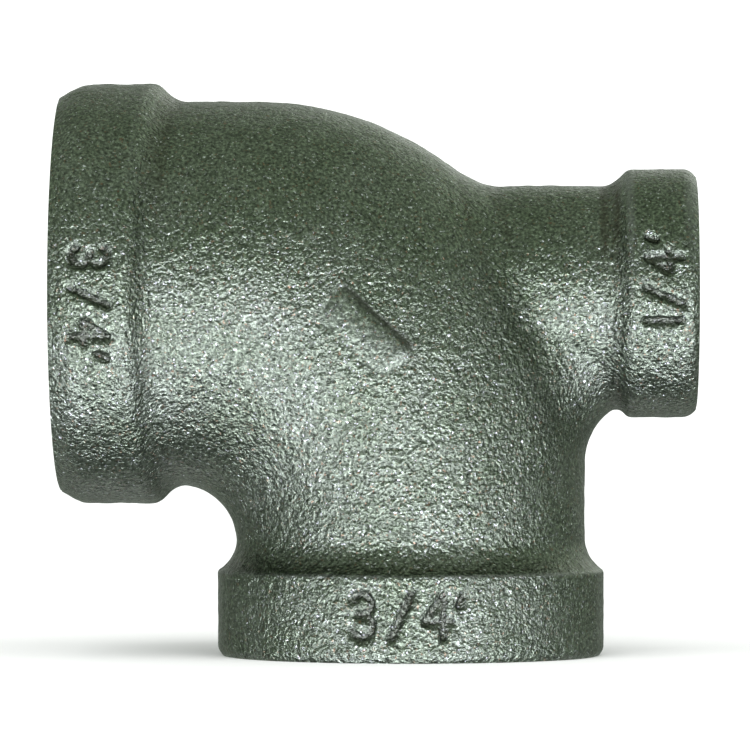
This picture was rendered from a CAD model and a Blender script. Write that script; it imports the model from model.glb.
"""A 3/4 x 1/4 x 3/4 inch reducing pipe tee of malleable cast iron, with its cast skin, sunk size
figures, faced mouths and tapped threads.

The casting's skin is the zero surface of a signed distance written with numpy. It is meshed once,
roughened, and cut at the planes that divide the CAD nodes, so the four cast pieces share their
seams exactly. Distances are in millimetres from the crossing of the run axis and the branch axis,
and only the finished meshes are turned into metres in the row frame.
"""

import math

import bpy
import numpy as np
import openvdb
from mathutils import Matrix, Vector


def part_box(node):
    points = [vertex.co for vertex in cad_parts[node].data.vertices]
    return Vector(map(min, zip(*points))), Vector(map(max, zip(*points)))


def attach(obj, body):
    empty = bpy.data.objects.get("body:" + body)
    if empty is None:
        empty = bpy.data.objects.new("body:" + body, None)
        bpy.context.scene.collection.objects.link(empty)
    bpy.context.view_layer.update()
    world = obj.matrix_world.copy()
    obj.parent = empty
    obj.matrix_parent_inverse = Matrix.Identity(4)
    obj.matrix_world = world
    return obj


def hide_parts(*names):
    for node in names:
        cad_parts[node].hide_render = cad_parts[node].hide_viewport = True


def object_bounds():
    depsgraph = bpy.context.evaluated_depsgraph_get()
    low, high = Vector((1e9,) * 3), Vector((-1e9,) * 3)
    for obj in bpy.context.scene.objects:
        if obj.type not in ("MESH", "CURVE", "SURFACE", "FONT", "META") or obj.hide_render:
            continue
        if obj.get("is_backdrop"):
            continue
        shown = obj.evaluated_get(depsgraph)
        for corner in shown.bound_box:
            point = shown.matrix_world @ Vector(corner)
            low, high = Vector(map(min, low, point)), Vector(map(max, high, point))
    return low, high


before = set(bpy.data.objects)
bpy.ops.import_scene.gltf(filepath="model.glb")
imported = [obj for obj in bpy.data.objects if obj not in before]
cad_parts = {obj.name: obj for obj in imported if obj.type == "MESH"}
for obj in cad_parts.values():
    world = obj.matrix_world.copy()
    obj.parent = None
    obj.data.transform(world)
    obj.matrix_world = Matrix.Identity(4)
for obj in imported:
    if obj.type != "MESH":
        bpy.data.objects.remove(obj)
cad_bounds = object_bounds()

MM = 0.001

# ------------------------------------------------------------------ dimensions from the CAD model

_run_low, _run_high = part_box("large_run_thread")
_branch_low, _branch_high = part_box("branch_thread")
CROSSING = np.array([(_branch_low.x + _branch_high.x) / 2, 0.0, (_run_low.z + _run_high.z) / 2])


class End:
    """One mouth of the tee, measured along its own axis from the crossing."""

    def __init__(self, name, axis, sign, **shape):
        self.name = name
        self.axis = axis
        self.sign = sign
        self.others = [i for i in range(3) if i != axis]
        thread_low, thread_high = (np.array(c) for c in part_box(f"{name}_thread"))
        band_low, band_high = (np.array(c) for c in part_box(f"{name}_band"))
        far, near = (band_high, band_low) if sign > 0 else (band_low, band_high)
        across = self.others[0] if axis == 2 else 2
        self.reach = abs(far[axis] - CROSSING[axis]) / MM
        self.divide = abs(near[axis] - CROSSING[axis]) / MM
        self.depth = (thread_high - thread_low)[axis] / MM
        self.seat_r = (thread_high - thread_low)[across] / 2 / MM
        self.__dict__.update(shape)

    def along(self, p):
        return self.sign * p[..., self.axis]

    def radius(self, p):
        return np.hypot(p[..., self.others[0]], p[..., self.others[1]])


# Shapes the CAD boxes don't give. Measured from the mouth, the full-width part of each band ends at
# rim and its shoulder reaches the neck at foot. Edge is the outer edge's rounding, brow softens the
# corner at rim, and cove is the fillet at foot. Draft is how much wider the band is in the plane
# where the two halves of the mould met than it is in front.
RUN_NECK_R = 18.0
BRANCH_NECK_R = 16.3
SMALL_NECK_R = 10.0
BEND_OUTER_R = 30.9
CROTCH_R = 5.5
BORE_3_4_R = 13.3
BORE_1_4_R = 6.8
THREAD_3_4 = {"pitch": 25.4 / 14, "pitch_diameter": 25.117}
THREAD_1_4 = {"pitch": 25.4 / 18, "pitch_diameter": 12.487}
LARGE = End("large_run", 0, -1, **THREAD_3_4, neck_r=RUN_NECK_R, band_r=19.7, rim=7.55, foot=8.25,
            edge=3.0, brow=0.9, cove=1.7, draft=1.8)
SMALL = End("small_run", 0, 1, **THREAD_1_4, neck_r=SMALL_NECK_R, band_r=11.6, rim=6.4, foot=8.0,
            edge=1.5, brow=0.3, cove=0.8, draft=0)
BRANCH = End("branch", 2, -1, **THREAD_3_4, neck_r=BRANCH_NECK_R, band_r=18.1, rim=7.95, foot=8.9,
             edge=1.1, brow=0.2, cove=1.8, draft=0)
ENDS = (LARGE, SMALL, BRANCH)
# The fillet between the body and the small neck: at the top, and how much it grows towards the web.
WEB_R_ABOVE = 1.6
WEB_R_MORE_BELOW = 4.4
PASSAGE_FILLET = 1.0

# ------------------------------------------------------------------ signed distances


def round_union(a, b, radius):
    """Union of two distances with a fillet of that radius in the corner."""
    u = np.maximum(radius - a, 0)
    v = np.maximum(radius - b, 0)
    return np.maximum(radius, np.minimum(a, b)) - np.hypot(u, v)


def round_corner(a, b, radius):
    """Intersection of two distances with its edge rounded to that radius."""
    u = np.maximum(a + radius, 0)
    v = np.maximum(b + radius, 0)
    return np.minimum(np.maximum(a, b) + radius, 0) + np.hypot(u, v) - radius


def smooth_max(a, b, width):
    """Intersection of two distances, blended where they differ by less than width."""
    overlap = np.maximum(width - np.abs(a - b), 0) / width
    return np.maximum(a, b) + overlap * overlap * width / 4


def smoothstep(low, high, value):
    """0 up to low, 1 from high on, and a smooth step between them."""
    t = np.clip((value - low) / (high - low), 0, 1)
    return t * t * (3 - 2 * t)


def bend(p, run_r, branch_r):
    """The branch swept round into the run. Its sections are ellipses that fan about the centre of
    the crotch, between the crotch and an outer wall made of a straight, an arc and a straight."""
    x, y, z = p[..., 0], p[..., 1], p[..., 2]
    pivot_x = -BRANCH_NECK_R - CROTCH_R
    pivot_z = -RUN_NECK_R - CROTCH_R
    centre_x = BRANCH_NECK_R - BEND_OUTER_R
    centre_z = RUN_NECK_R - BEND_OUTER_R
    dx = x - pivot_x
    dz = z - pivot_z
    reach = np.hypot(dx, dz)
    tilt = np.clip(np.arctan2(dz, dx), 1e-4, math.pi / 2 - 1e-4)
    cos, sin = np.cos(tilt), np.sin(tilt)
    to_side = (BRANCH_NECK_R - pivot_x) / cos
    to_top = (RUN_NECK_R - pivot_z) / sin
    ox, oz = centre_x - pivot_x, centre_z - pivot_z
    aside = ox * sin - oz * cos
    to_arc = ox * cos + oz * sin + np.sqrt(BEND_OUTER_R**2 - aside**2)
    outer = np.where(pivot_z + to_side * sin <= centre_z, to_side, to_arc)
    outer = np.where(pivot_x + to_top * cos <= centre_x, to_top, outer)
    share = tilt / (math.pi / 2)
    half = branch_r + (run_r - branch_r) * share
    inset = BRANCH_NECK_R + (RUN_NECK_R - BRANCH_NECK_R) * share - half
    inner = CROTCH_R + inset
    outer = outer - inset
    middle, semi = (outer + inner) / 2, (outer - inner) / 2
    u, v = (reach - middle) / semi, y / half
    level = np.sqrt(u * u + v * v) + 1e-9
    steepness = np.hypot(u / semi, v / half) / level + 1e-9
    fan = (level - 1) / steepness
    branch = np.hypot(x, y) - branch_r
    run = np.hypot(y, z) - run_r
    outside_fan = np.where(dx < 0, np.where(dz < 0, np.minimum(run, branch), run), branch)
    return np.where((dx < 0) | (dz < 0), outside_fan, fan)


FACE_CUT = 0.15  # the faced mouth cuts this much off the rounded outer edge
PARTING_RISE = 0.1
PARTING_WIDTH = 0.5


def band(end, p):
    """The raised band round a mouth, with a rounded outer edge and a sloping shoulder."""
    r, h = end.radius(p), end.along(p)
    rim = round_corner(r - end.band_r, h - end.reach - FACE_CUT, end.edge)
    rise, run = end.band_r - end.neck_r, end.foot - end.rim
    start = end.reach - end.rim - end.draft * (1 - np.abs(p[..., 1]) / end.band_r)
    shoulder = ((r - end.band_r) * run - (h - start) * rise) / math.hypot(rise, run)
    return smooth_max(rim, shoulder, end.brow)


def plain_skin(p):
    """Distance to the cast outside without its relief; it ends a little past each mouth."""
    body = bend(p, RUN_NECK_R, BRANCH_NECK_R)
    r = SMALL.radius(p)
    neck = np.maximum(r - SMALL_NECK_R, -p[..., 0])
    under = smoothstep(0.3, 1.0, -p[..., 2] / np.maximum(r, 1))
    body = round_union(body, neck, WEB_R_ABOVE + WEB_R_MORE_BELOW * under)
    for end in ENDS:
        body = round_union(body, band(end, p), end.cove)
    return body


def skin(p):
    """Distance to the cast outside, with its figures, its pad and the ground-off parting line that
    runs round it in the plane of its axes."""
    parting = PARTING_RISE * np.exp(-((p[..., 1] / PARTING_WIDTH) ** 2))
    return plain_skin(p) - relief(p) - parting


def passage(p):
    """Distance to the cored passage, positive in the iron."""
    through = np.maximum(SMALL.radius(p) - BORE_1_4_R, -p[..., 0])
    return round_union(bend(p, BORE_3_4_R, BORE_3_4_R), through, PASSAGE_FILLET)


# ------------------------------------------------------------------ sunk figures and the pad

SUNK = 0.5
STROKE = 0.85
# Strokes of each sign in a cell one unit high: bars (x0, y0, x1, y1), and arcs (x, y, radius, and
# the angles in degrees that they run between).
BARS = {
    "1": [(0.28, 0, 0.28, 1)],
    "/": [(0.05, -0.02, 0.52, 1.02)],
    "4": [(0.5, 0, 0.5, 1), (0.5, 1, 0.08, 0.36), (0.08, 0.36, 0.69, 0.36)],
    "'": [(0.1, 0.75, 0.2, 0.98)],
}
ARCS = {"3": [(0.36, 0.76, 0.24, -115, 150), (0.36, 0.26, 0.26, -150, 100)]}
ADVANCE = {"1": 0.6, "/": 0.79, "4": 0.78, "3": 1.03, "'": 0.34}
# Each band's text. Its middle is from_mouth away from the mouth, and shift moves it along the line
# of reading.
FIGURES = {
    LARGE: dict(text="3/4'", height=3.3, spacing=1.17, from_mouth=3.85, shift=1.4),
    SMALL: dict(text="1/4'", height=3.2, spacing=1.2, from_mouth=3.3, shift=1.1),
    BRANCH: dict(text="3/4'", height=3.9, spacing=1.0, from_mouth=4.3, shift=0.0),
}
# The pad's upper edge, its middle and slant. A step leads up to it from above, and below it the
# pad's face dies away into the belly.
PAD_X, PAD_Z = -3.2, -3.0
PAD_TILT = math.radians(42)
PAD_LENGTH = 9.4
PAD_WIDTH = 4.7
PAD_RISE = 0.5
PAD_STEP = 1.4  # how far the step up to its edge takes
PAD_SIDE = 1.2  # how far its two ends take to die away
LINE_WIDTH = 0.5
FRONT_Y = -8  # the relief is on the part of the outside in front of this
WALL_INSIDE, WALL_OUTSIDE = 0.36, 0.22  # how far a stroke's wall reaches to each side of its edge


def to_bar(u, v, x0, y0, x1, y1):
    dx, dy = x1 - x0, y1 - y0
    t = np.clip(((u - x0) * dx + (v - y0) * dy) / (dx * dx + dy * dy), 0, 1)
    return np.hypot(u - x0 - t * dx, v - y0 - t * dy)


def to_arc(u, v, x, y, radius, start, stop):
    du, dv = u - x, v - y
    turn = np.degrees(np.arctan2(dv, du))
    on_ring = np.abs(np.hypot(du, dv) - radius)
    tips = [
        np.hypot(du - radius * math.cos(math.radians(a)), dv - radius * math.sin(math.radians(a)))
        for a in (start, stop)
    ]
    return np.where((turn > start) & (turn < stop), on_ring, np.minimum(*tips))


def figure_distance(end, p):
    """Distance from the strokes of one band's figures, measured on the unrolled band. They read
    down the large band, up the small one and level on the branch."""
    text, height, spacing, from_mouth, shift = FIGURES[end].values()
    across = {LARGE: -p[..., 2], SMALL: p[..., 2], BRANCH: p[..., 0]}[end]
    s = np.arctan2(across, -p[..., 1]) * end.band_r - shift
    t = (end.reach - from_mouth) - end.along(p)
    start = -sum(ADVANCE[sign] for sign in text) * spacing * height / 2
    nearest = np.full(s.shape, np.inf)
    for sign in text:
        u, v = (s - start) / height, t / height + 0.5
        for bar in BARS.get(sign, []):
            nearest = np.minimum(nearest, to_bar(u, v, *bar) * height)
        for arc in ARCS.get(sign, []):
            nearest = np.minimum(nearest, to_arc(u, v, *arc) * height)
        start += ADVANCE[sign] * spacing * height
    return nearest


def pad_place(p):
    """Distances along the pad's upper edge from its middle, and down the pad's face from it."""
    dx, dz = p[..., 0] - PAD_X, p[..., 2] - PAD_Z
    cos, sin = math.cos(PAD_TILT), math.sin(PAD_TILT)
    return dx * cos - dz * sin, -(dx * sin + dz * cos)


def pad_share(p):
    """How far a point is raised by the pad: it rises over its step to 1 at its upper edge, and
    falls over its face to 0 at its lower edge."""
    along, down = pad_place(p)
    beyond = np.abs(along) - PAD_LENGTH / 2 + 0.1 * np.maximum(down, 0)
    side = 1 - smoothstep(-PAD_SIDE, 0.4, beyond)
    share = (1 - smoothstep(0.2, PAD_WIDTH, down)) * smoothstep(-PAD_STEP, 0.15, down)
    return share * side * (p[..., 1] < FRONT_Y)


def line_share(p):
    """How near a point is to the dirty line along the middle of the pad's step, from 0 to 1."""
    along, down = pad_place(p)
    ends = 1 - smoothstep(-0.9, 0.3, np.abs(along) - PAD_LENGTH / 2)
    line = np.exp(-(((down + PAD_STEP / 2) / LINE_WIDTH) ** 2))
    return line * ends * (p[..., 1] < FRONT_Y)


def relief(p):
    """Height of the pad, which grows along it, less the depth of the figures."""
    along = pad_place(p)[0]
    height = PAD_RISE * pad_share(p) * (0.8 + 0.4 * np.clip(along / PAD_LENGTH, -0.5, 0.5))
    front = p[..., 1] < FRONT_Y
    for end in ENDS:
        near = front & (end.along(p) > end.reach - end.rim) & (end.radius(p) > end.band_r - 2)
        if near.any():
            distance = figure_distance(end, p[near]) - STROKE / 2
            height[near] = -SUNK * (1 - smoothstep(-WALL_INSIDE, WALL_OUTSIDE, distance))
    return height


# ------------------------------------------------------------------ meshing


def mesh_surface(distance, low, high, step):
    """Triangles on the zero surface of distance inside a box, facing the positive side."""
    count = np.ceil((high - low) / step).astype(int) + 1
    axes = [low[i] + step * np.arange(count[i]) for i in range(3)]
    limit = 3 * step
    grid = openvdb.FloatGrid(background=limit)
    slab = 16
    for k in range(0, count[0], slab):
        x, y, z = np.meshgrid(axes[0][k : k + slab], axes[1], axes[2], indexing="ij")
        values = distance(np.stack([x, y, z], -1).astype(np.float32))
        grid.copyFromArray(np.clip(values, -limit, limit).astype(np.float32), ijk=(k, 0, 0))
    points, quads = grid.convertToQuads(isovalue=0.0)
    points = points.astype(float) * step + low
    quads = quads.astype(int)
    first = np.linalg.norm(points[quads[:, 0]] - points[quads[:, 2]], axis=1)
    second = np.linalg.norm(points[quads[:, 1]] - points[quads[:, 3]], axis=1)
    short = (first <= second)[:, None]
    faces = np.concatenate(
        [
            np.where(short, quads[:, [0, 1, 2]], quads[:, [0, 1, 3]]),
            np.where(short, quads[:, [0, 2, 3]], quads[:, [1, 2, 3]]),
        ]
    )
    points = settle(distance, points, 3)
    a, b, c = (points[faces[:, i]] for i in range(3))
    agree = (np.cross(b - a, c - a) * slope(distance, a)).sum()
    return points, faces if agree > 0 else faces[:, ::-1]


def slope(distance, p):
    """Gradient of distance by central differences."""
    eps = 0.02
    shifts = np.eye(3) * eps
    return np.stack([distance(p + s) - distance(p - s) for s in shifts], -1) / (2 * eps)


def settle(distance, p, rounds, keep=None):
    """Moves points onto the zero surface; keep is an axis along which they may not move."""
    for _ in range(rounds):
        g = slope(distance, p)
        if keep is not None:
            g[:, keep] = 0
        step = distance(p)[:, None] * g / np.maximum((g * g).sum(1)[:, None], 0.05)
        p = p - np.clip(step, -0.3, 0.3)
    return p


def cut(distance, points, faces, end, along, within=None):
    """Splits triangles at a plane across an end's axis. Returns the points, the faces on the near
    side of it and the faces beyond it; only points that are within can lie beyond."""
    clear = 0.04
    axis, value = end.axis, end.sign * along
    chosen = np.ones(len(points), bool) if within is None else within(points)
    offset = points[:, axis] - value
    close = (np.abs(offset) < clear) & chosen
    points = points.copy()
    points[close, axis] = value + np.where(offset[close] < 0, -clear, clear)
    points[close] = settle(distance, points[close], 2, keep=axis)
    above = end.along(points) > along
    inside = chosen[faces].all(1)
    count = above[faces].sum(1)
    crossing = inside & (count > 0) & (count < 3)
    lone = np.where(count == 1, above[faces].argmax(1), (~above[faces]).argmax(1))
    rows = np.flatnonzero(crossing)
    turn = (lone[rows][:, None] + np.arange(3)) % 3
    a, b, c = np.take_along_axis(faces[rows], turn, 1).T
    pairs = np.sort(np.concatenate([np.stack([a, b], 1), np.stack([a, c], 1)]), 1)
    edges, place = np.unique(pairs, axis=0, return_inverse=True)
    place = place.reshape(-1) + len(points)
    ends = points[edges]
    t = (value - ends[:, 0, axis]) / (ends[:, 1, axis] - ends[:, 0, axis])
    fresh = ends[:, 0] + t[:, None] * (ends[:, 1] - ends[:, 0])
    fresh[:, axis] = value
    fresh = settle(distance, fresh, 2, keep=axis)
    fresh[:, axis] = value
    ab, ac = place[: len(rows)], place[len(rows) :]
    tips = np.stack([a, ab, ac], 1)
    rests = np.concatenate([np.stack([ab, b, c], 1), np.stack([ab, c, ac], 1)])
    tip_up = count[rows] == 1
    rest_up = np.concatenate([~tip_up, ~tip_up])
    whole_up = ~crossing & above[faces].all(1) & inside
    whole_down = ~crossing & ~whole_up
    down = np.concatenate([faces[whole_down], tips[~tip_up], rests[~rest_up]])
    up = np.concatenate([faces[whole_up], tips[tip_up], rests[rest_up]])
    return np.concatenate([points, fresh]), down, up


def rim_loop(points, faces, axis, value):
    """The points of an open edge that lies in a plane, in order round the plane's axis."""
    edges = np.sort(np.concatenate([faces[:, [0, 1]], faces[:, [1, 2]], faces[:, [2, 0]]]), 1)
    edges, uses = np.unique(edges, axis=0, return_counts=True)
    loop = np.unique(edges[uses == 1])
    return loop[np.abs(points[loop, axis] - value) < 1e-6]


def angles(end, p):
    return np.arctan2(p[:, end.others[1]], p[:, end.others[0]])


def zip_loops(end, points, first, second):
    """A flat ring of triangles between two loops round an end's axis."""
    turns = [angles(end, points[loop]) for loop in (first, second)]
    orders = [np.argsort(turn) for turn in turns]
    loops = [loop[order] for loop, order in zip((first, second), orders)]
    turns = [turn[order] for turn, order in zip(turns, orders)]
    i = j = 0
    n, m = len(loops[0]), len(loops[1])
    ring = []
    while i < n or j < m:
        next_i = turns[0][(i + 1) % n] + 2 * math.pi * ((i + 1) // n)
        next_j = turns[1][(j + 1) % m] + 2 * math.pi * ((j + 1) // m)
        a, b = loops[0][i % n], loops[1][j % m]
        if j >= m or (i < n and next_i <= next_j):
            ring.append((a, loops[0][(i + 1) % n], b))
            i += 1
        else:
            ring.append((a, loops[1][(j + 1) % m], b))
            j += 1
    return np.array(ring)


def facing(points, faces, direction):
    """The faces, turned over if they look away from direction (one vector, or one per face)."""
    a, b, c = (points[faces[:, i]] for i in range(3))
    agree = (np.cross(b - a, c - a) * direction).sum()
    return faces if agree > 0 else faces[:, ::-1]


def grid_faces(rows, columns):
    """Two triangles for each cell of a grid of points that closes round its columns."""
    i, j = np.meshgrid(np.arange(rows - 1), np.arange(columns), indexing="ij")
    a, b = i * columns + j, i * columns + (j + 1) % columns
    c, d = a + columns, b + columns
    return np.concatenate([np.stack([a, b, d], -1), np.stack([a, d, c], -1)]).reshape(-1, 3)


# ------------------------------------------------------------------ cast grain


def value_noise(p, size, seed):
    """Smooth noise in -1..1 with features of that size, the same on every run."""
    q = p / size
    cell = np.floor(q).astype(np.int64)
    f = q - cell
    f = f * f * f * (f * (f * 6 - 15) + 10)
    total = np.zeros(len(p))
    for corner in np.ndindex(2, 2, 2):
        k = (cell + corner).astype(np.uint64)
        h = k[:, 0] * np.uint64(73856093) ^ k[:, 1] * np.uint64(19349663)
        h ^= k[:, 2] * np.uint64(83492791) ^ np.uint64(seed * 2654435761)
        h = (h ^ (h >> np.uint64(13))) * np.uint64(1274126177) & np.uint64(0xFFFFFFFF)
        h = (h ^ (h >> np.uint64(16))) & np.uint64(0xFFFF)
        weight = np.prod(np.where(corner, f, 1 - f), axis=1)
        total += weight * (h / 32767.5 - 1)
    return total


# Size and depth of each layer of the as-cast surface, from the sand mould's waviness to its grains.
CAST_LAYERS = ((7.0, 0.06), (2.6, 0.035), (1.1, 0.026), (0.62, 0.02))


def cast_grain(p):
    return sum(value_noise(p, size, k + 1) * depth for k, (size, depth) in enumerate(CAST_LAYERS))


def vertex_normals(points, faces):
    a, b, c = (points[faces[:, i]] for i in range(3))
    normal = np.cross(b - a, c - a)
    total = np.zeros_like(points)
    for i in range(3):
        for axis in range(3):
            total[:, axis] += np.bincount(faces[:, i], normal[:, axis], len(points))
    return total / np.maximum(np.linalg.norm(total, axis=1)[:, None], 1e-12)


# ------------------------------------------------------------------ the casting

MARKS = ("hollow", "pad", "sunk")  # what the skin's material is told of each point
SKIN_STEP = 0.27
PASSAGE_STEP = 0.55
MARGIN = 1.5  # room round a surface in the box that it is meshed in
BORE_POINTS = 180
PLANE = 1e-6


def circle(end, radius, along):
    """A ring of points round an end's axis."""
    turn = np.linspace(-math.pi, math.pi, BORE_POINTS, endpoint=False)
    ring = np.zeros((BORE_POINTS, 3))
    ring[:, end.others[0]] = radius * np.cos(turn)
    ring[:, end.others[1]] = radius * np.sin(turn)
    ring[:, end.axis] = end.sign * along
    return ring


def outward(end):
    direction = np.zeros(3)
    direction[end.axis] = end.sign
    return direction


def roughen(points, faces, planes, strength=1.0):
    """Moves points along their normals by the cast grain; those on a cut stay in its plane."""
    normals = vertex_normals(points, faces)
    moved = normals * (cast_grain(points) * strength)[:, None]
    for axis, value in planes:
        moved[np.abs(points[:, axis] - value) < PLANE, axis] = 0
    return points + moved


def make_skin():
    """The cast outside, cut at the mouths and at the planes that divide the CAD nodes.
    Returns the points and the faces of the body and of each end."""
    low = np.array([-LARGE.reach, -LARGE.band_r, -BRANCH.reach]) - MARGIN
    high = np.array([SMALL.reach, LARGE.band_r, LARGE.band_r]) + MARGIN
    points, body = mesh_surface(skin, low, high, SKIN_STEP)
    ends = {}
    planes = []
    for end in ENDS:
        planes += [(end.axis, end.sign * end.reach), (end.axis, end.sign * end.divide)]

        def near(p, end=end):
            return (end.along(p) > end.divide - 2) & (end.radius(p) < end.band_r + 3)

        points, body, rest = cut(skin, points, body, end, end.divide, near)
        points, ends[end], _ = cut(skin, points, rest, end, end.reach)
    return points, body, ends, planes


def loop_at(points, faces, end, along):
    return rim_loop(points, faces, end.axis, end.sign * along)


class Shell:
    """Faces gathered for one piece: each part has its faces, whether they are machined, and their
    flat normal or None."""

    def __init__(self, points):
        self.points = points
        self.parts = []

    def add(self, faces, machined=False, direction=None):
        if direction is not None:
            faces = facing(self.points, faces, direction)
        self.parts.append((faces, machined, direction))


def bore_wall(end, points, rings):
    """The wall between two circles of bore points, looking at the axis."""
    faces = grid_faces(2, BORE_POINTS)
    faces = np.where(faces < BORE_POINTS, faces + rings[0], faces - BORE_POINTS + rings[1])
    inwards = -points[faces].mean(1)
    inwards[:, end.axis] = 0
    return facing(points, faces, inwards)


def hollowness(p):
    """Curvature of the plain cast outside per mm: above zero in hollows, below it on edges. It
    counts in full where the skin looks up, so that dirt can lie there, and a third elsewhere."""
    reach = 0.6
    around = sum(plain_skin(p + step) + plain_skin(p - step) for step in np.eye(3) * reach)
    looks_up = smoothstep(0.1, 0.7, slope(plain_skin, p)[..., 2])
    return (6 * plain_skin(p) - around) / reach**2 * (1 + 2 * looks_up) / 3


def make_casting():
    """The four cast pieces as shells that share their seams, the normals of their points, and
    what the skin's material needs to know of each point."""
    points, body_skin, end_skins, planes = make_skin()
    sunk = np.maximum(-relief(points) / SUNK, line_share(points))
    marks = dict(zip(MARKS, (hollowness(points), pad_share(points), sunk)))
    core, core_faces = make_passage()
    core_faces = core_faces[:, ::-1] + len(points)
    everything = np.concatenate([body_skin, *end_skins.values()])
    points = roughen(points, everything, planes)
    count = len(points)
    points = np.concatenate([points, core])
    rings = {}
    for end in ENDS:
        for along in (end.reach, end.divide, end.reach - end.depth):
            rings[end, along] = len(points)
            points = np.concatenate([points, circle(end, end.seat_r, along)])
    normals = vertex_normals(points, np.concatenate([everything, core_faces]))
    body = Shell(points)
    body.add(body_skin)
    body.add(core_faces)
    shells = {"tee_body": body}
    for end in ENDS:
        seat = end.reach - end.depth
        stations = (end.reach, end.divide, seat)
        ring = {along: np.arange(BORE_POINTS) + rings[end, along] for along in stations}
        shell = Shell(points)
        shell.add(end_skins[end])
        mouth = loop_at(points[:count], end_skins[end], end, end.reach)
        seam = loop_at(points[:count], end_skins[end], end, end.divide)
        shell.add(zip_loops(end, points, mouth, ring[end.reach]), True, outward(end))
        shell.add(bore_wall(end, points, (rings[end, end.reach], rings[end, end.divide])))
        shell.add(zip_loops(end, points, seam, ring[end.divide]), False, -outward(end))
        shells[f"{end.name}_band"] = shell
        body.add(zip_loops(end, points, seam, ring[end.divide]), False, outward(end))
        body.add(bore_wall(end, points, (rings[end, end.divide], rings[end, seat])))
        core_loop = loop_at(points, core_faces, end, seat)
        body.add(zip_loops(end, points, core_loop, ring[seat]), True, outward(end))
    spare = len(points) - count
    marks = {name: np.concatenate([mark, np.zeros(spare)]) for name, mark in marks.items()}
    return shells, normals, marks


def make_passage():
    """The cored passage up to the inner end of each thread, rougher than the outside."""
    low = np.array([-LARGE.reach + LARGE.depth, -BORE_3_4_R, -BRANCH.reach + BRANCH.depth]) - MARGIN
    high = np.array([SMALL.reach - SMALL.depth, BORE_3_4_R, BORE_3_4_R + 1.0]) + MARGIN
    points, faces = mesh_surface(passage, low, high, PASSAGE_STEP)
    planes = []
    for end in ENDS:
        seat = end.reach - end.depth
        planes.append((end.axis, end.sign * seat))

        def near(p, end=end):
            return end.radius(p) < end.seat_r + 1

        points, faces, _ = cut(passage, points, faces, end, seat, near)
    return roughen(points, faces, planes, 1.5), faces


# ------------------------------------------------------------------ threads

THREAD_HEIGHT = 0.8  # of the pitch
TAPER = 1 / 32
THREAD_ROWS_PER_PITCH = 18
SOFTNESS = 0.25  # how far the flanks are bent towards a smooth curve


def thread_radius(end, depth, turn):
    """Radius of the tapped surface at a depth from the mouth and an angle about the axis: a
    60 degree groove with flat crests and roots, tapering inwards."""
    mouth_r = (end.pitch_diameter - THREAD_HEIGHT * end.pitch) / 2
    crest = mouth_r - depth * TAPER
    phase = (depth / end.pitch + end.sign * turn / (2 * math.pi)) % 1.0
    groove = 1 - np.abs(2 * phase - 1)
    flat = 0.1
    height = np.clip((groove - flat) / (1 - 2 * flat), 0, 1)
    soft = height * height * (3 - 2 * height)
    height += SOFTNESS * (soft - height)
    threaded = crest + THREAD_HEIGHT * end.pitch * height
    return np.maximum(threaded, end.seat_r - depth)


def make_thread(end):
    """The tapped ring of one mouth: the lead-in, the thread, its inner end and its back."""
    rows = int(round(end.depth / end.pitch * THREAD_ROWS_PER_PITCH)) + 1
    turn = np.linspace(-math.pi, math.pi, BORE_POINTS, endpoint=False)
    depth, turn = np.meshgrid(np.linspace(0, end.depth, rows), turn, indexing="ij")
    radius = np.minimum(thread_radius(end, depth, turn), end.seat_r)
    radius = np.vstack([radius, np.full(BORE_POINTS, end.seat_r)])
    depth, turn = np.vstack([depth, depth[-1]]), np.vstack([turn, turn[-1]])
    points = np.zeros(radius.shape + (3,))
    points[..., end.others[0]] = radius * np.cos(turn)
    points[..., end.others[1]] = radius * np.sin(turn)
    points[..., end.axis] = end.sign * (end.reach - depth)
    points = points.reshape(-1, 3)
    faces = grid_faces(rows + 2, BORE_POINTS) % len(points)
    tapped = faces.max(1) < rows * BORE_POINTS
    a, b, c = (points[faces[tapped][:, i]] for i in range(3))
    inwards = -(a + b + c)
    inwards[:, end.axis] = 0
    looks_in = (np.cross(b - a, c - a) * inwards).sum() > 0
    return points, faces if looks_in else faces[:, ::-1]


# ------------------------------------------------------------------ pieces


def to_row(points):
    return points * MM + CROSSING


def make_object(name, points, faces, materials, slots):
    mesh = bpy.data.meshes.new(name)
    mesh.vertices.add(len(points))
    mesh.vertices.foreach_set("co", to_row(points).astype(np.float32).ravel())
    mesh.loops.add(faces.size)
    mesh.loops.foreach_set("vertex_index", faces.astype(np.int32).ravel())
    mesh.polygons.add(len(faces))
    mesh.polygons.foreach_set("loop_start", np.arange(0, faces.size, 3, dtype=np.int32))
    mesh.polygons.foreach_set("material_index", slots.astype(np.int32))
    mesh.update(calc_edges=True)
    mesh.validate()
    for material in materials:
        mesh.materials.append(material)
    piece = bpy.data.objects.new(name, mesh)
    bpy.context.scene.collection.objects.link(piece)
    return piece


def make_cast_piece(node, shell, normals, marks, materials):
    """One cast region: its skin is shaded by the whole casting's normals, so that no seam shows,
    and its flat faces by their own."""
    faces = np.concatenate([part[0] for part in shell.parts])
    slots = np.concatenate([np.full(len(f), int(machined)) for f, machined, _ in shell.parts])
    loop_normals = np.concatenate(
        [
            normals[f].reshape(-1, 3) if direction is None else np.tile(direction, (f.size, 1))
            for f, _, direction in shell.parts
        ]
    )
    used, compact = np.unique(faces, return_inverse=True)
    faces = compact.reshape(-1, 3)
    piece = make_object(f"{node}_skin", shell.points[used], faces, materials, slots)
    for name, mark in marks.items():
        attribute = piece.data.attributes.new(name, "FLOAT", "POINT")
        attribute.data.foreach_set("value", mark[used].astype(np.float32))
    piece.data.normals_split_custom_set(loop_normals.tolist())
    return finish_piece(piece, node)


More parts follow.
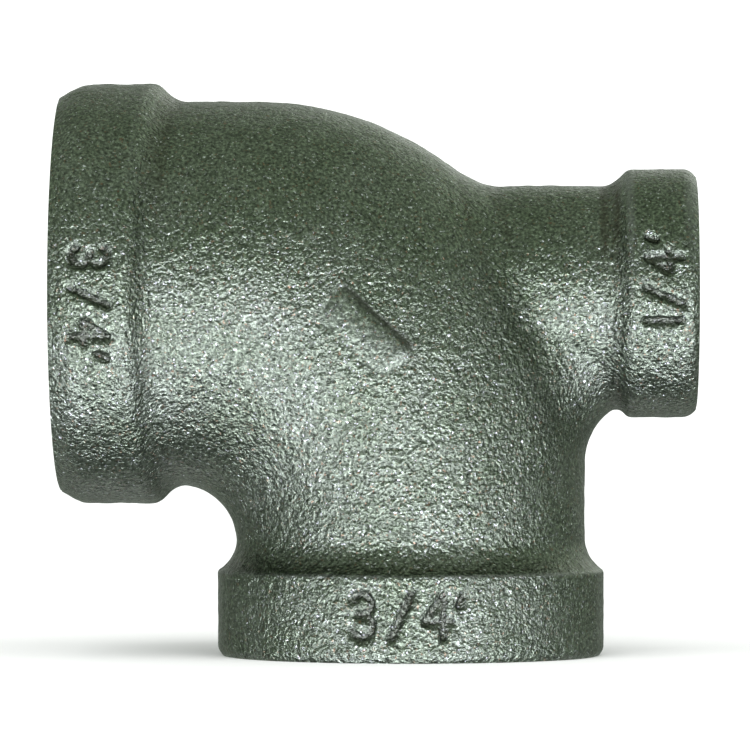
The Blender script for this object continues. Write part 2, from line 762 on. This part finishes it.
def make_thread_piece(end, materials):
    points, faces = make_thread(end)
    piece = make_object(f"{end.name}_tapping", points, faces, materials, np.zeros(len(faces)))
    piece.data.set_sharp_from_angle(angle=math.radians(40))
    return finish_piece(piece, f"{end.name}_thread")


def finish_piece(piece, node):
    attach(piece, "root")
    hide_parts(node)
    return piece


# ------------------------------------------------------------------ materials


class Nodes:
    """Short names for building a node material."""

    def __init__(self, name):
        self.material = bpy.data.materials.new(name)
        self.material.use_nodes = True
        self.tree = self.material.node_tree
        self.shader = self.tree.nodes["Principled BSDF"]
        self.place = self.tree.nodes.new("ShaderNodeTexCoord").outputs["Object"]

    def link(self, source, target):
        self.tree.links.new(source, target)

    def noise(self, size_mm, detail=2.0, roughness=0.5, seed=0.0):
        """Noise with features about that size; each seed gives a different pattern."""
        node = self.tree.nodes.new("ShaderNodeTexNoise")
        node.noise_dimensions = "4D"
        node.inputs["W"].default_value = seed
        node.inputs["Scale"].default_value = 1 / (size_mm * MM)
        node.inputs["Detail"].default_value = detail
        node.inputs["Roughness"].default_value = roughness
        self.link(self.place, node.inputs["Vector"])
        return node.outputs["Fac"]

    def rings(self, end, size_mm):
        """Noise that changes only with the distance from an end's axis."""
        split = self.tree.nodes.new("ShaderNodeSeparateXYZ")
        self.link(self.place, split.inputs[0])
        squares = []
        for i in end.others:
            aside = self.maths("SUBTRACT", split.outputs[i], CROSSING[i])
            squares.append(self.maths("MULTIPLY", aside, aside))
        node = self.tree.nodes.new("ShaderNodeTexNoise")
        node.noise_dimensions = "1D"
        node.inputs["Scale"].default_value = 1 / (size_mm * MM)
        self.link(self.maths("SQRT", self.maths("ADD", *squares)), node.inputs["W"])
        return node.outputs["Fac"]

    def attribute(self, name):
        node = self.tree.nodes.new("ShaderNodeAttribute")
        node.attribute_name = name
        return node.outputs["Fac"]

    def ramp(self, source, *stops):
        node = self.tree.nodes.new("ShaderNodeValToRGB")
        elements = node.color_ramp.elements
        while len(elements) < len(stops):
            elements.new(0.5)
        for element, (position, colour) in zip(elements, stops):
            element.position = position
            element.color = (*colour, 1) if isinstance(colour, tuple) else (colour,) * 3 + (1,)
        self.link(source, node.inputs["Fac"])
        return node.outputs["Color"]

    def mix(self, factor, first, second, blend="MIX"):
        node = self.tree.nodes.new("ShaderNodeMix")
        node.data_type = "RGBA"
        node.blend_type = blend
        for value, k in ((factor, 0), (first, 6), (second, 7)):  # 6 and 7 are the two colours
            if isinstance(value, bpy.types.NodeSocket):
                self.link(value, node.inputs[k])
            else:
                node.inputs[k].default_value = value if isinstance(value, float) else (*value, 1)
        return node.outputs[2]

    def maths(self, operation, first, second=0.5):
        node = self.tree.nodes.new("ShaderNodeMath")
        node.operation = operation
        for value, socket in zip((first, second), node.inputs):
            self.put(value, socket)
        return node.outputs[0]

    def put(self, value, socket):
        """Links a socket to another, or gives it a number or colour."""
        if isinstance(value, bpy.types.NodeSocket):
            self.link(value, socket)
        else:
            socket.default_value = value

    def bump(self, height, depth_mm):
        node = self.tree.nodes.new("ShaderNodeBump")
        node.inputs["Distance"].default_value = depth_mm * MM
        node.inputs["Strength"].default_value = 1.0
        self.link(height, node.inputs["Height"])
        return node.outputs["Normal"]

    def set(self, **values):
        for name, value in values.items():
            self.put(value, self.shader.inputs[name.replace("_", " ")])


def cast_skin_material():
    """Dark grey-green cast skin: a fine grain with bright and rusty specks over a slightly mottled
    ground, dirtier and browner in the hollows and worn paler on the edges."""
    rusty, sparkling, dirty = (0.14, 0.085, 0.040), (0.42, 0.48, 0.42), (0.022, 0.018, 0.009)
    worn, dark = (0.17, 0.19, 0.165), (0.026, 0.029, 0.020)
    n = Nodes("cast_skin")
    hollow, pad, sunk = (n.attribute(name) for name in MARKS)
    fine = n.noise(0.28, 2.0, 0.6)
    mottle = n.noise(6.0, 3.0, 0.55)
    ground = n.ramp(mottle, (0.35, (0.060, 0.083, 0.048)), (0.65, (0.076, 0.100, 0.064)))
    grain = n.ramp(fine, (0.30, 0.35), (0.50, 1.0), (0.70, 2.3))
    colour = n.mix(1.0, ground, grain, "MULTIPLY")
    rust = n.ramp(n.noise(0.34, 2.0, 0.6, seed=7.0), (0.62, 0.0), (0.70, 1.0))
    colour = n.mix(n.maths("MULTIPLY", rust, 0.55), colour, rusty)
    glint = n.ramp(n.noise(0.26, 1.0, 0.5, seed=3.0), (0.66, 0.0), (0.74, 1.0))
    colour = n.mix(n.maths("MULTIPLY", glint, 0.8), colour, sparkling)
    dirt = n.ramp(hollow, (0.15, 0.0), (0.9, 1.0))
    colour = n.mix(n.maths("MULTIPLY", dirt, 0.9), colour, dirty)
    wear = n.ramp(n.maths("MULTIPLY", hollow, -1.0), (0.25, 0.0), (1.0, 1.0))
    wear = n.maths("MULTIPLY", wear, n.ramp(mottle, (0.4, 0.25), (0.6, 0.6)))
    colour = n.mix(wear, colour, worn)
    soiled = n.ramp(sunk, (0.3, 0.0), (0.9, 1.0))
    colour = n.mix(n.maths("MULTIPLY", soiled, 0.6), colour, dark)
    roughness = n.ramp(n.noise(0.5, 2.0, seed=5.0), (0.3, 0.25), (0.7, 0.40))
    roughness = n.maths("ADD", roughness, n.ramp(pad, (0.0, 0.0), (0.3, 0.14)))
    coarse = n.noise(0.62, 2.0, seed=1.0)
    height = n.maths("ADD", fine, n.maths("MULTIPLY", coarse, 1.3))
    height = n.maths("MULTIPLY", height, n.ramp(pad, (0.0, 1.0), (0.3, 0.42)))
    n.set(Base_Color=colour, Metallic=0.95, Roughness=roughness, Normal=n.bump(height, 0.21))
    n.set(Specular_Tint=(0.65, 0.66, 0.64, 1))
    return n.material


def turned_material(name, end):
    """Faced and tapped iron: brighter, with tool marks round an end's axis, a few stains and a
    little rust."""
    n = Nodes(name)
    stain = n.noise(2.4, 4.0, 0.6)
    dull, plain, bright = (0.13, 0.135, 0.125), (0.25, 0.255, 0.24), (0.33, 0.33, 0.31)
    colour = n.ramp(stain, (0.3, dull), (0.5, plain), (0.7, bright))
    rust = n.ramp(n.noise(1.1, 4.0, 0.65, seed=2.0), (0.58, 0.0), (0.70, 1.0))
    colour = n.mix(n.maths("MULTIPLY", rust, 0.5), colour, (0.13, 0.075, 0.04))
    marks = n.rings(end, 0.17)
    roughness = n.ramp(n.noise(0.8, 3.0), (0.3, 0.26), (0.7, 0.46))
    height = n.maths("ADD", marks, n.maths("MULTIPLY", n.noise(0.2, 2.0), 0.6))
    n.set(Base_Color=colour, Metallic=0.95, Roughness=roughness, Normal=n.bump(height, 0.035))
    return n.material


# ------------------------------------------------------------------ stage

STAGE_RADIUS = 2.4
INNER_RADIUS = 0.4
SWEEP_RADIUS = 1.2
STAGE_HEIGHT = 3.0
SWEEP_STEPS = 20
STAGE_SIDES = 64


def make_stage():
    """A pale round floor that sweeps up into a wall on every side. It only receives light: the tee
    is lit by the lamps and the sky alone."""
    profile = [(INNER_RADIUS, 0.0), (STAGE_RADIUS - SWEEP_RADIUS, 0.0)]
    for k in range(1, SWEEP_STEPS + 1):
        turn = k / SWEEP_STEPS * math.pi / 2
        rise = SWEEP_RADIUS * (1 - math.cos(turn))
        profile.append((STAGE_RADIUS - SWEEP_RADIUS * (1 - math.sin(turn)), rise))
    profile.append((STAGE_RADIUS, STAGE_HEIGHT))
    turns = [2 * math.pi * k / STAGE_SIDES for k in range(STAGE_SIDES)]
    points = [(r * math.cos(t), r * math.sin(t), z) for r, z in profile for t in turns]
    points.append((0.0, 0.0, 0.0))
    centre = len(points) - 1
    faces = [(centre, k, (k + 1) % STAGE_SIDES) for k in range(STAGE_SIDES)]
    for row in range(len(profile) - 1):
        for k in range(STAGE_SIDES):
            a, b = row * STAGE_SIDES + k, row * STAGE_SIDES + (k + 1) % STAGE_SIDES
            faces.append((a, a + STAGE_SIDES, b + STAGE_SIDES, b))
    mesh = bpy.data.meshes.new("stage")
    mesh.from_pydata(points, [], faces)
    mesh.shade_smooth()
    n = Nodes("paper")
    grain = n.ramp(n.noise(1.5, 2.0), (0.0, 0.86), (1.0, 0.88))
    n.set(Base_Color=grain, Roughness=0.95)
    mesh.materials.append(n.material)
    stage = bpy.data.objects.new("stage", mesh)
    bpy.context.scene.collection.objects.link(stage)
    stage.visible_diffuse = False
    stage.visible_glossy = False
    stage.visible_shadow = False
    stage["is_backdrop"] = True
    return stage


def aim(thing, place, target):
    thing.location = place
    thing.rotation_euler = (Vector(target) - Vector(place)).to_track_quat("-Z", "Y").to_euler()
    bpy.context.scene.collection.objects.link(thing)


LAMP_TARGET = (0, 0, 0.03)
LAMPS = {
    "key": dict(below_deg=35, azimuth_deg=0, distance=0.45, size=(1.6, 0.06), power=19.0,
                colour=(1.0, 0.87, 1.26)),
    "back_fill": dict(below_deg=-25, azimuth_deg=150, distance=0.9, size=(0.9, 0.5), power=1.6),
    "behind": dict(below_deg=35, azimuth_deg=180, distance=0.45, size=(1.2, 0.1), power=0.8,
                   colour=(1.0, 0.94, 1.06)),
}


def area_light(name, below_deg, azimuth_deg, distance, size, power, colour=(1, 1, 1)):
    """A soft light that many degrees below the level of the tee, and that far round from its
    front."""
    light = bpy.data.lights.new(name, "AREA")
    light.shape = "RECTANGLE"
    light.size, light.size_y = size
    light.energy = power
    light.color = colour
    lamp = bpy.data.objects.new(name, light)
    below, azimuth = math.radians(below_deg), math.radians(azimuth_deg)
    level = distance * math.cos(below)
    height = LAMP_TARGET[2] - distance * math.sin(below)
    place = (level * math.sin(azimuth), -level * math.cos(azimuth), height)
    aim(lamp, place, LAMP_TARGET)
    lamp.visible_camera = False
    return lamp


def only_on(lamp, lit, blocking):
    lamp.light_linking.receiver_collection = lit
    lamp.light_linking.blocker_collection = blocking


def grouped(name, things):
    group = bpy.data.collections.new(name)
    for thing in things:
        group.objects.link(thing)
    return group


def make_lights(pieces, stage):
    """On the tee, a wide strip in front, well below the line of sight, a weaker one behind, and a
    broad soft light that gives the back its shape. On the stage, one broad soft light."""
    tee = grouped("tee", pieces)
    for name, shape in LAMPS.items():
        only_on(area_light(name, **shape), tee, tee)
    sun = bpy.data.lights.new("stage_light", "SUN")
    sun.energy = 2.4
    sun.angle = math.radians(70)
    lamp = bpy.data.objects.new("stage_light", sun)
    aim(lamp, (0, -1, 1.2), (0, 0, 0))
    only_on(lamp, grouped("stage", [stage]), tee)


# The camera looks almost squarely at the front, a little from the right.
CAMERA_DISTANCE = 0.535
FRAME_WIDTH = 0.07075
CAMERA_PLACE = (0.0105, -CAMERA_DISTANCE, 0.0249)
CAMERA_TARGET = (-0.00035, 0.0, 0.0264)


def make_camera():
    camera = bpy.data.cameras.new("camera")
    camera.sensor_width = 36
    camera.lens = camera.sensor_width * CAMERA_DISTANCE / FRAME_WIDTH
    camera.clip_start = 0.01
    rig = bpy.data.objects.new("camera", camera)
    aim(rig, CAMERA_PLACE, CAMERA_TARGET)
    bpy.context.scene.camera = rig


SKY_ABOVE = (0.80, 0.83, 0.80)
SKY_BELOW = (0.17, 0.205, 0.165)
HORIZON_SOFTNESS = 0.35


def make_world():
    """A soft sky all round, bright above the level of the tee and dim below it."""
    world = bpy.data.worlds.new("studio")
    bpy.context.scene.world = world
    world.use_nodes = True
    nodes, links = world.node_tree.nodes, world.node_tree.links
    split = nodes.new("ShaderNodeSeparateXYZ")
    links.new(nodes.new("ShaderNodeTexCoord").outputs["Generated"], split.inputs[0])
    rise = nodes.new("ShaderNodeMapRange")
    rise.interpolation_type = "SMOOTHSTEP"
    rise.inputs["From Min"].default_value = -HORIZON_SOFTNESS
    rise.inputs["From Max"].default_value = HORIZON_SOFTNESS
    links.new(split.outputs["Z"], rise.inputs["Value"])
    blend = nodes.new("ShaderNodeMix")
    blend.data_type = "RGBA"
    links.new(rise.outputs["Result"], blend.inputs[0])
    blend.inputs[6].default_value = (*SKY_BELOW, 1)
    blend.inputs[7].default_value = (*SKY_ABOVE, 1)
    links.new(blend.outputs[2], nodes["Background"].inputs["Color"])


# ------------------------------------------------------------------ the scene

cast, turned_run = cast_skin_material(), turned_material("turned_run", LARGE)
turned_branch = turned_material("turned_branch", BRANCH)
turned = dict.fromkeys(("tee_body", "large_run_band", "small_run_band"), turned_run)
turned["branch_band"] = turned_branch
shells, casting_normals, casting_marks = make_casting()
pieces = [
    make_cast_piece(node, shell, casting_normals, casting_marks, [cast, turned[node]])
    for node, shell in shells.items()
]
pieces += [make_thread_piece(end, [turned[f"{end.name}_band"]]) for end in ENDS]
make_world()
make_camera()
make_lights(pieces, make_stage())
bpy.context.scene.view_settings.view_transform = "Standard"

boxes = {"cad": cad_bounds, "visual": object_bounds()}
{k: [list(corner) for corner in v] for k, v in boxes.items()}
